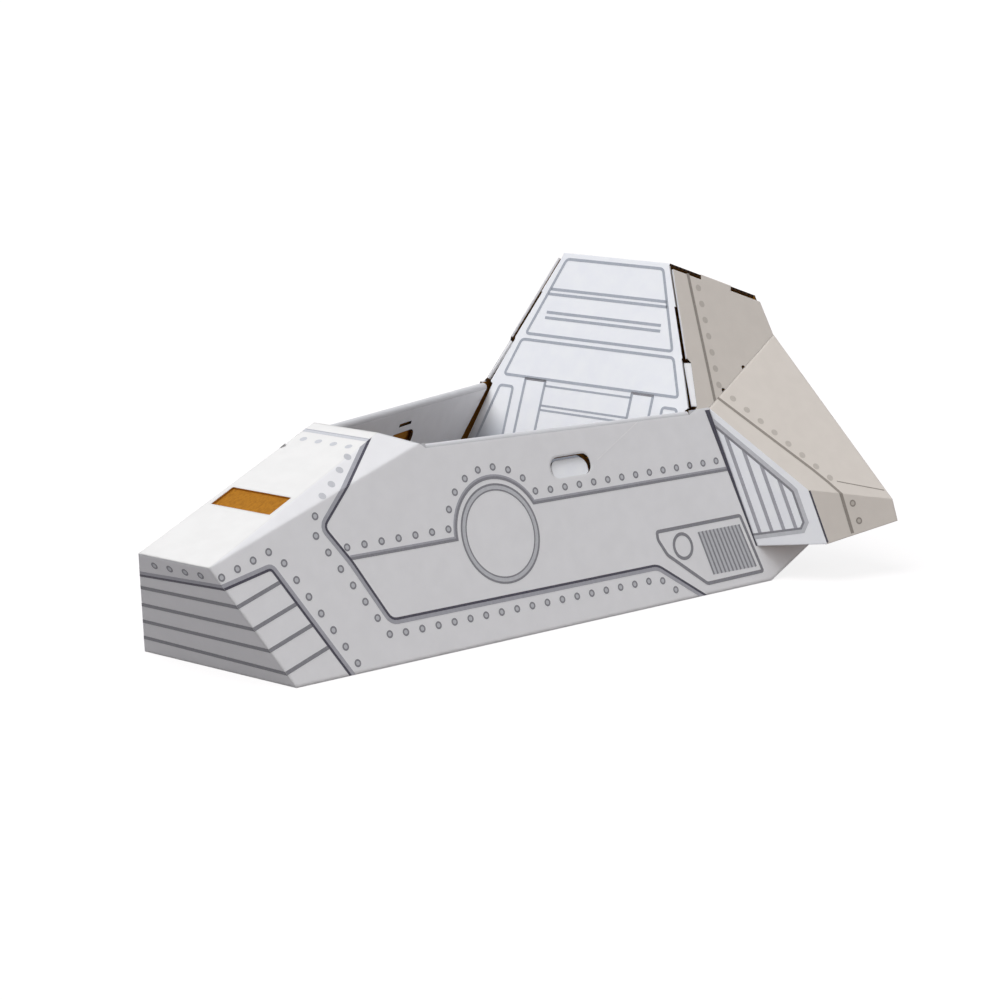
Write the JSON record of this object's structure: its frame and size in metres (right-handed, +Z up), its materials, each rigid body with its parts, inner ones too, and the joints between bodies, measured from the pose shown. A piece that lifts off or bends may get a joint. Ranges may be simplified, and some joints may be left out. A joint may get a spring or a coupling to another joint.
{
  "type": "cardboard spaceship playhouse",
  "caption": "Ride-in spaceship of folded white cardboard: wedge nose, open cockpit, leaning backrest tower and slotted wing pods.",
  "frame": {"origin": "on the floor, at the middle of the overall length and width", "axes": "+Y from the nose to the tail, +X to the side of a seated child's left hand, +Z up"},
  "size_m": [0.9662, 1.274, 0.523],
  "materials": {
    "hull_board": "matte white-lined corrugated board with grey line print",
    "canopy_board": "matte white-lined corrugated board with grey line print",
    "pod_board": "matte white-lined corrugated board with grey line print"
  },
  "bodies": {
    "root": {"hull": "hull_board", "canopy": "canopy_board", "pod_left": "pod_board", "pod_right": "pod_board"}
  },
  "joints": []
}
